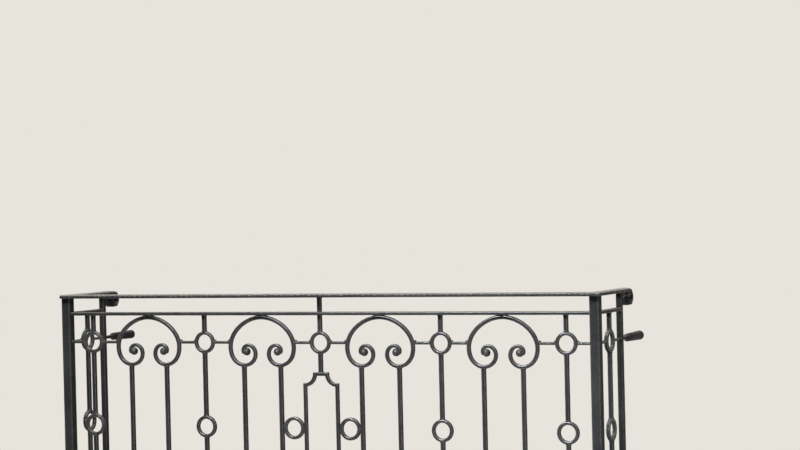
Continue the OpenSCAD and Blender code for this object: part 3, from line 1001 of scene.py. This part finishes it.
class BALCONY_OT_rails(BuildOperator, bpy.types.Operator):
    """Build the upper and lower rails of the front and of both sides"""

    bl_idname = "balcony.rails"
    bl_label = "Rails"

    def execute(self, context):
        bars = context.scene.balcony_bars
        forging = context.scene.balcony_forging
        for row in ("upper", "lower"):
            for place, side in (("front", 0), *SIDES.items()):
                node = f"{row}_rail_{place}"
                low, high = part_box(node)
                level = (low.z + high.z) / 2
                along = 1 if side else 0
                width = (high - low)[1 - along]
                bm = new_part()
                draw_bar(bm, [Vector((low[along], level)), Vector((high[along], level))],
                         high.z - low.z, width, (forging.edge, bars.rail_bevel),
                         upright_plane(side))
                forge(bm, node, rail_iron(), level + side)
        return {"FINISHED"}


class BALCONY_OT_scrolls(BuildOperator, bpy.types.Operator):
    """Build the arches with their volutes, domed eyes and weld seats"""

    bl_idname = "balcony.scrolls"
    bl_label = "Scrolls"

    def execute(self, context):
        scroll = context.scene.balcony_scroll
        forging = context.scene.balcony_forging
        bead = forging.bead
        seat_radii = (3.4 * bead, 0.55 * bead, 0.95 * bead)
        seat_depth = 0.2 * scroll.thickness
        plane = upright_plane()
        for row, up in (("upper", 1), ("lower", -1)):
            for i in BAYS:
                node = f"{row}_scroll_{i}"
                low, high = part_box(node)
                top = Vector(((low.x + high.x) / 2, high.z if up > 0 else low.z))
                line, wide = self.middle_line(scroll, high.x - low.x)
                line = [top + Vector((p.x, up * p.y)) for p in line]
                bm = new_part()
                draw_bar(bm, line, scroll.thickness, scroll.depth,
                         (forging.soft_edge, forging.soft_edge), plane, widths=wide)
                for side in SIDES.values():
                    spot = top + Vector((side * scroll.eye_reach, -up * scroll.eye_drop))
                    self.eye(bm, plane, spot, scroll)
                add_bead(bm, plane, top - Vector((0, up * seat_depth)), seat_radii)
                forge(bm, node, bar_iron(), top.x * up)
        return {"FINISHED"}

    def middle_line(self, scroll, width):
        """Middle line of a scroll from eye to eye, and the bar's share of its full thickness. The
        arch is a curve through four guides, and runs on into the volute."""
        arch_steps, volute_steps, buried_steps = 24, 72, 6
        end_radius = scroll.eye / 2 - scroll.end_thickness / 4
        start_radius = width / 2 - scroll.eye_reach - scroll.thickness / 2 - scroll.swell

        def volute(a):
            share = max(0.0, 1 - a / scroll.turn)
            radius = end_radius + (start_radius - end_radius) * share ** scroll.ease
            return Vector((scroll.eye_reach + radius * math.cos(a),
                           -scroll.eye_drop - radius * math.sin(a)))

        top = -scroll.thickness / 2
        start = volute(0)
        lean = math.atan(scroll.ease / scroll.turn)
        pull = scroll.pull * (top + scroll.eye_drop)
        guides = [Vector((0, top)), Vector((scroll.pull * start.x, top)),
                  start + pull * Vector((math.sin(lean), math.cos(lean))), start]
        half = []
        for i in range(arch_steps):
            u = i / arch_steps
            near = [g.lerp(h, u) for g, h in zip(guides, guides[1:])]
            mid = [g.lerp(h, u) for g, h in zip(near, near[1:])]
            half.append(mid[0].lerp(mid[1], u))
        half += [volute(scroll.turn * i / volute_steps) for i in range(volute_steps + 1)]
        thin = scroll.end_thickness / scroll.thickness
        share = [1 + (thin - 1) * i / (len(half) - 1) for i in range(len(half))]
        for i in range(buried_steps):
            share[-1 - i] *= 0.5 + 0.5 * math.sin(math.pi / 2 * i / buried_steps)
        line = [Vector((-p.x, p.y)) for p in reversed(half[1:])] + half
        return line, share[:0:-1] + share

    def eye(self, bm, plane, spot, scroll):
        """The domed end of a volute, spun from a rounded profile."""
        steps = 12
        fuller_side, fuller_dome, rubbed = 0.75, 0.85, 0.85
        radius, rise = scroll.eye / 2, scroll.eye_depth / 2
        points = []
        for i in range(steps + 1):
            a = math.pi * (i / steps - 0.5)
            points.append((radius * abs(math.cos(a)) ** fuller_side,
                           rise * math.copysign(abs(math.sin(a)) ** fuller_dome, math.sin(a))))
        part = new_part()
        spin_profile(part, points)
        wear = part.verts.layers.float["edge"]
        # The lighter edge colour on the dome's crown: rubbed paint, and a painted highlight
        for v in part.verts:
            v[wear] = rubbed * abs(v.co.z) / rise
        join(bm, part, plane @ Matrix.Translation((*spot, 0)))


class BALCONY_OT_balusters(BuildOperator, bpy.types.Operator):
    """Build the pairs of square bars between the scrolls"""

    bl_idname = "balcony.balusters"
    bl_label = "Balusters"

    def execute(self, context):
        bar = context.scene.balcony_bars.bar
        sink = context.scene.balcony_forging.sink
        for i in BAYS:
            node = f"baluster_pair_{i}"
            low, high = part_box(node)
            bm = new_part()
            for x in (low.x + bar / 2, high.x - bar / 2):
                straight_bar(bm, upright_plane(), (x, low.z - sink), (x, high.z + sink), bar,
                             (sink, sink))
            forge(bm, node, bar_iron(), i)
        return {"FINISHED"}


class BALCONY_OT_ring_balusters(BuildOperator, bpy.types.Operator):
    """Build the bars with four rings each, on the front and on both sides"""

    bl_idname = "balcony.ring_balusters"
    bl_label = "Ring balusters"

    def execute(self, context):
        bars = context.scene.balcony_bars
        wanted = [(f"ring_baluster_{i}", 0) for i in BAYS]
        wanted += [("side_ring_baluster_" + name, side) for name, side in SIDES.items()]
        for node, side in wanted:
            low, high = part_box(node)
            bm = new_part()
            across = middle(node)[1 if side else 0]
            ringed_bar(bm, upright_plane(side), across, low.z, high.z, ring_rows(), bars)
            forge(bm, node, bar_iron(), across)
        return {"FINISHED"}


class BALCONY_OT_centre_panel(BuildOperator, bpy.types.Operator):
    """Build the centre stems, the long frame with hollow shoulders and the rings beside it"""

    bl_idname = "balcony.centre_panel"
    bl_label = "Centre panel"

    def execute(self, context):
        bars = context.scene.balcony_bars
        forging = context.scene.balcony_forging
        rows = ring_rows()
        plane = upright_plane()
        for node, row in (("centre_stem_upper", rows[0]), ("centre_stem_lower", rows[3])):
            low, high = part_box(node)
            bm = new_part()
            ringed_bar(bm, plane, 0, low.z, high.z, [row], bars)
            forge(bm, node, bar_iron(), row)
        bm = new_part()
        draw_bar(bm, self.frame_line(bars), bars.frame_bar, bars.frame_bar,
                 (forging.edge, forging.edge), plane, closed=True)
        forge(bm, "centre_frame", bar_iron(), seed=3.3)
        bm = new_part()
        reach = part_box("centre_frame_rings")[1].x - bars.frame_ring / 2
        for x in (-reach, reach):
            for z in rows[1:3]:
                ring(bm, plane, (x, z), bars.frame_ring, bars.ring_bar, bars.bar)
        forge(bm, "centre_frame_rings", bar_iron(), seed=5.1)
        return {"FINISHED"}

    def frame_line(self, bars):
        """Closed middle line of the frame, with a hollow quarter round at each corner."""
        low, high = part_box("centre_frame")
        x = high.x - bars.frame_bar / 2
        centre_z = (low.z + high.z) / 2
        z = high.z - bars.frame_bar / 2 - centre_z
        corner = []
        steps = 12
        for i in range(steps + 1):
            a = math.pi * (1.5 - 0.5 * i / steps)
            hollow = bars.shoulder * Vector((math.cos(a), math.sin(a)))
            corner.append(Vector((x, z)) + hollow)
        top = corner + [Vector((-p.x, p.y)) for p in reversed(corner)]
        line = top + [Vector((p.x, -p.y)) for p in reversed(top)]
        return [p + Vector((0, centre_z)) for p in line]


class BALCONY_OT_links(BuildOperator, bpy.types.Operator):
    """Build the short link bars with their weld beads"""

    bl_idname = "balcony.links"
    bl_label = "Link bars"

    def execute(self, context):
        bars = context.scene.balcony_bars
        for row in ("upper", "lower"):
            node = "link_bars_" + row
            level = middle(node).z
            bm = new_part()
            for run in self.front_runs(row, bars):
                self.link(bm, upright_plane(), level, *run)
            forge(bm, node, bar_iron(), level)
        rows = ring_rows()
        for name, side in SIDES.items():
            node = "side_links_" + name
            bm = new_part()
            centre = middle("side_ring_baluster_" + name).y
            low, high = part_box(node)
            for level in (rows[0], rows[3]):
                for run in ((low.y, centre - bars.ring / 2, (False, True)),
                            (centre + bars.ring / 2, high.y, (True, False))):
                    self.link(bm, upright_plane(side), level, *run)
            forge(bm, node, bar_iron(), side)
        return {"FINISHED"}

    def front_runs(self, row, bars):
        """Start and end of each front link, and whether a bead closes each end."""
        low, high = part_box("link_bars_" + row)
        stops = [(low.x, low.x, False)]
        for i in BAYS:
            x = middle(f"ring_baluster_{i}").x
            stops.append((x - bars.ring / 2, x + bars.ring / 2, True))
            a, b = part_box(f"{row}_scroll_{i}")
            stops.append((a.x, b.x, True))
        stops.append((-bars.ring / 2, bars.ring / 2, True))
        stops.append((high.x, high.x, False))
        stops.sort()
        return [(s[1], t[0], (s[2], t[2])) for s, t in zip(stops, stops[1:])]

    def link(self, bm, plane, level, start, end, beads):
        """One link bar, set a little into what it joins, with a bead over each welded end."""
        deeper, round_edge = 1.5, 0.34
        forging = bpy.context.scene.balcony_forging
        thick = bpy.context.scene.balcony_bars.link
        sinks = [deeper * forging.sink * welded for welded in beads]
        straight_bar(bm, plane, (start - sinks[0], level), (end + sinks[1], level), thick, sinks,
                     edge=round_edge * thick)
        bead = forging.bead
        radii = (0.8 * bead, bead, 0.75 * bead)
        for x, welded in zip((start, end), beads):
            if welded:
                add_bead(bm, plane, Vector((x, level + 0.35 * bead)), radii, depth=-0.3 * bead)


class BALCONY_OT_wall_stays(BuildOperator, bpy.types.Operator):
    """Build the stays and the round anchors that hold the railing to the wall"""

    bl_idname = "balcony.wall_stays"
    bl_label = "Wall stays"

    def execute(self, context):
        for name, side in SIDES.items():
            node = "wall_stay_" + name
            low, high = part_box(node)
            bm = new_part()
            level = (low.z + high.z) / 2
            straight_bar(bm, upright_plane(side), (low.y, level), (high.y, level), high.z - low.z)
            forge(bm, node, post_iron(), side)
            self.anchor("wall_anchor_" + name)
        return {"FINISHED"}

    def anchor(self, node):
        """A round anchor with a rounded nose, a little thicker towards the wall, spun from its
        profile and hammered."""
        nose, nose_steps, body_steps, flat_end = 0.003, 4, 18, 0.002
        low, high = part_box(node)
        centre = (low + high) / 2
        wall = high.y
        radius = (high.x - low.x) / 2
        size = high.y - low.y
        tip = 0.85 * radius
        points = [(0, 0), (0.6 * tip, 0)]
        for i in range(nose_steps + 1):
            a = math.pi / 2 * i / nose_steps
            points.append((tip - nose * (1 - math.sin(a)), nose * (1 - math.cos(a))))
        for i in range(1, body_steps + 1):
            points.append((tip + (radius - tip) * i / body_steps,
                           nose + (size - nose) * i / body_steps))
        points.append((0, size))
        bm = new_part()
        spin_profile(bm, points)
        wear = bm.verts.layers.float["edge"]
        for v in bm.verts:
            v[wear] = 1.0 if v.co.z < nose else 0.0
        turn = Matrix.Rotation(-math.pi / 2, 4, "X")
        place = Matrix.Translation((centre.x, wall - size, centre.z)) @ turn
        bmesh.ops.transform(bm, matrix=place, verts=bm.verts)
        forging = bpy.context.scene.balcony_forging
        hammer(bm, 1.5 * forging.dent, forging.dent_spacing, centre.x)
        for v in bm.verts:
            if v.co.y > wall - flat_end:
                v.co.y = wall
        finish_piece(bm, "forged_" + node, post_iron(), node)


# Stage


class BALCONY_OT_studio(BuildOperator, bpy.types.Operator):
    """Lay the floor and set up the lamps and the camera"""

    bl_idname = "balcony.studio"
    bl_label = "Studio"

    def execute(self, context):
        studio = context.scene.balcony_studio
        self.floor(context, studio)
        self.sky(context, studio)
        aim = Vector((0, middle("handrail_front").y, 0.6))
        self.lamp(context, "Key lamp", place=(-0.9, -1.6, 5.6), aim=aim, size=(4.2, 1.4),
                  tint=(1, 0.97, 0.92), power=studio.key_power, spread=180)
        self.lamp(context, "Fill lamp", place=(-2.6, -9.2, 3.2), aim=aim + Vector((2.2, 0, 0)),
                  size=(2.6, 2.6), tint=(0.89, 0.945, 1), power=studio.fill_power, spread=40)
        self.camera(context, studio)
        context.scene.view_settings.view_transform = "Standard"
        return {"FINISHED"}

    def floor(self, context, studio):
        """A wide pale floor that fades into the background away from the object. It is open under
        the slab, so that the slab's underside gets the sky's light when it is seen from below."""
        gap, sunk, radius = 0.006, 0.0005, 60
        rim = context.scene.balcony_slab.cove + gap
        low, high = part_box("floor_slab")
        bm = bmesh.new()
        bmesh.ops.create_circle(bm, cap_ends=True, segments=96, radius=radius)
        bmesh.ops.translate(bm, vec=(0, 0, CAD_BOX[0].z - sunk), verts=bm.verts)
        for corner in (low + Vector((rim, rim, 0)), high - Vector((rim, gap, 0))):
            for across in ((1, 0, 0), (0, 1, 0)):
                bmesh.ops.bisect_plane(
                    bm, geom=bm.verts[:] + bm.edges[:] + bm.faces[:], dist=1e-6, plane_co=corner,
                    plane_no=across)
        covered = min(bm.faces, key=lambda face: face.calc_area())
        bmesh.ops.delete(bm, geom=[covered], context="FACES")
        mesh = bpy.data.meshes.new("floor")
        bm.to_mesh(mesh)
        bm.free()
        floor = bpy.data.objects.new("floor", mesh)
        context.scene.collection.objects.link(floor)
        mesh.materials.append(self.floor_material(studio))

    def floor_material(self, studio):
        """Matt floor, seen as the background colour further out and not at all from below."""
        material, sheet = new_material("Studio floor")
        away = sheet.add("ShaderNodeVectorMath", {0: sheet.place()}, operation="LENGTH")
        faded = sheet.ramp(away.outputs["Value"], studio.fade_start, studio.fade_end)
        far = sheet.calc("MULTIPLY", faded, sheet.seen())
        near = sheet.add("ShaderNodeBsdfDiffuse", {"Color": (*studio.floor, 1)})
        glow = sheet.add("ShaderNodeEmission", {"Color": (*studio.background, 1)})
        lit = sheet.add("ShaderNodeMixShader", {0: far, 1: near.outputs[0], 2: glow.outputs[0]})
        back = sheet.add("ShaderNodeNewGeometry").outputs["Backfacing"]
        clear = sheet.add("ShaderNodeBsdfTransparent")
        shown = sheet.add("ShaderNodeMixShader", {0: back, 1: lit.outputs[0], 2: clear.outputs[0]})
        sheet.add("ShaderNodeOutputMaterial", {"Surface": shown.outputs[0]})
        return material

    def sky(self, context, studio):
        """Even light from all around, seen by the camera and in gloss as the background."""
        world = bpy.data.worlds.new("Studio")
        context.scene.world = world
        world.use_nodes = True
        sheet = NodeSheet(world.node_tree)
        even = sheet.add("ShaderNodeBackground", {"Color": (1, 1, 1, 1), "Strength": studio.sky})
        shown = sheet.add("ShaderNodeBackground", {"Color": (*studio.background, 1)})
        mixed = sheet.add("ShaderNodeMixShader", {
            0: sheet.seen(), 1: even.outputs[0], 2: shown.outputs[0],
        })
        sheet.add("ShaderNodeOutputWorld", {"Surface": mixed.outputs[0]})

    def lamp(self, context, name, place, aim, size, tint, power, spread):
        """A soft lamp that looks at its aim, with its beam's angle in degrees."""
        data = bpy.data.lights.new(name, "AREA")
        data.shape = "RECTANGLE"
        data.size, data.size_y = size
        data.color = tint
        data.energy = power
        data.spread = math.radians(spread)
        lamp = bpy.data.objects.new(name, data)
        context.scene.collection.objects.link(lamp)
        lamp.location = place
        lamp.rotation_euler = (aim - Vector(place)).to_track_quat("-Z", "Y").to_euler()

    def camera(self, context, studio):
        """The camera at the photograph's viewing angle."""
        data = bpy.data.cameras.new("Camera")
        data.lens = studio.lens
        data.sensor_width = 36
        data.clip_end = 200
        camera = bpy.data.objects.new("Camera", data)
        context.scene.collection.objects.link(camera)
        turn = Matrix.Rotation(studio.yaw, 4, "Z")
        tilt = Matrix.Rotation(math.pi / 2 - studio.pitch, 4, "X")
        roll = Matrix.Rotation(studio.roll, 4, "Z")
        camera.matrix_world = Matrix.Translation(studio.camera) @ turn @ tilt @ roll
        context.scene.camera = camera


# Panel


class BALCONY_PT_panel(bpy.types.Panel):
    """Sizes, colours and pieces of the balcony"""

    bl_idname = "BALCONY_PT_panel"
    bl_label = "Wrought Iron Balcony"
    bl_space_type = "VIEW_3D"
    bl_region_type = "UI"
    bl_category = "Balcony"

    def draw(self, context):
        layout = self.layout
        for name in SETTINGS:
            group = getattr(context.scene, name)
            box = layout.box()
            box.label(text=name.replace("balcony_", "").capitalize())
            for key in group.bl_rna.properties.keys():
                if key not in ("rna_type", "name"):
                    box.prop(group, key)
        for operator in PIECES:
            layout.operator(operator.bl_idname)


SETTINGS = {
    "balcony_bars": BalconyBars,
    "balcony_handrail": BalconyHandrail,
    "balcony_scroll": BalconyScroll,
    "balcony_forging": BalconyForging,
    "balcony_slab": BalconySlab,
    "balcony_finish": BalconyFinish,
    "balcony_studio": BalconyStudio,
}
PIECES = (
    BALCONY_OT_floor_slab,
    BALCONY_OT_posts,
    BALCONY_OT_handrail,
    BALCONY_OT_rails,
    BALCONY_OT_scrolls,
    BALCONY_OT_balusters,
    BALCONY_OT_ring_balusters,
    BALCONY_OT_centre_panel,
    BALCONY_OT_links,
    BALCONY_OT_wall_stays,
    BALCONY_OT_studio,
)


def register():
    for made in (*SETTINGS.values(), *PIECES, BALCONY_PT_panel):
        bpy.utils.register_class(made)
    for name, group in SETTINGS.items():
        setattr(bpy.types.Scene, name, PointerProperty(type=group))


def unregister():
    for name in SETTINGS:
        delattr(bpy.types.Scene, name)
    for made in (BALCONY_PT_panel, *reversed(PIECES), *SETTINGS.values()):
        bpy.utils.unregister_class(made)


def main():
    register()
    bpy.ops.balcony.floor_slab()
    bpy.ops.balcony.posts()
    bpy.ops.balcony.handrail()
    bpy.ops.balcony.rails()
    bpy.ops.balcony.scrolls()
    bpy.ops.balcony.balusters()
    bpy.ops.balcony.ring_balusters()
    bpy.ops.balcony.centre_panel()
    bpy.ops.balcony.links()
    bpy.ops.balcony.wall_stays()
    bpy.ops.balcony.studio()


if __name__ == "__main__":
    main()
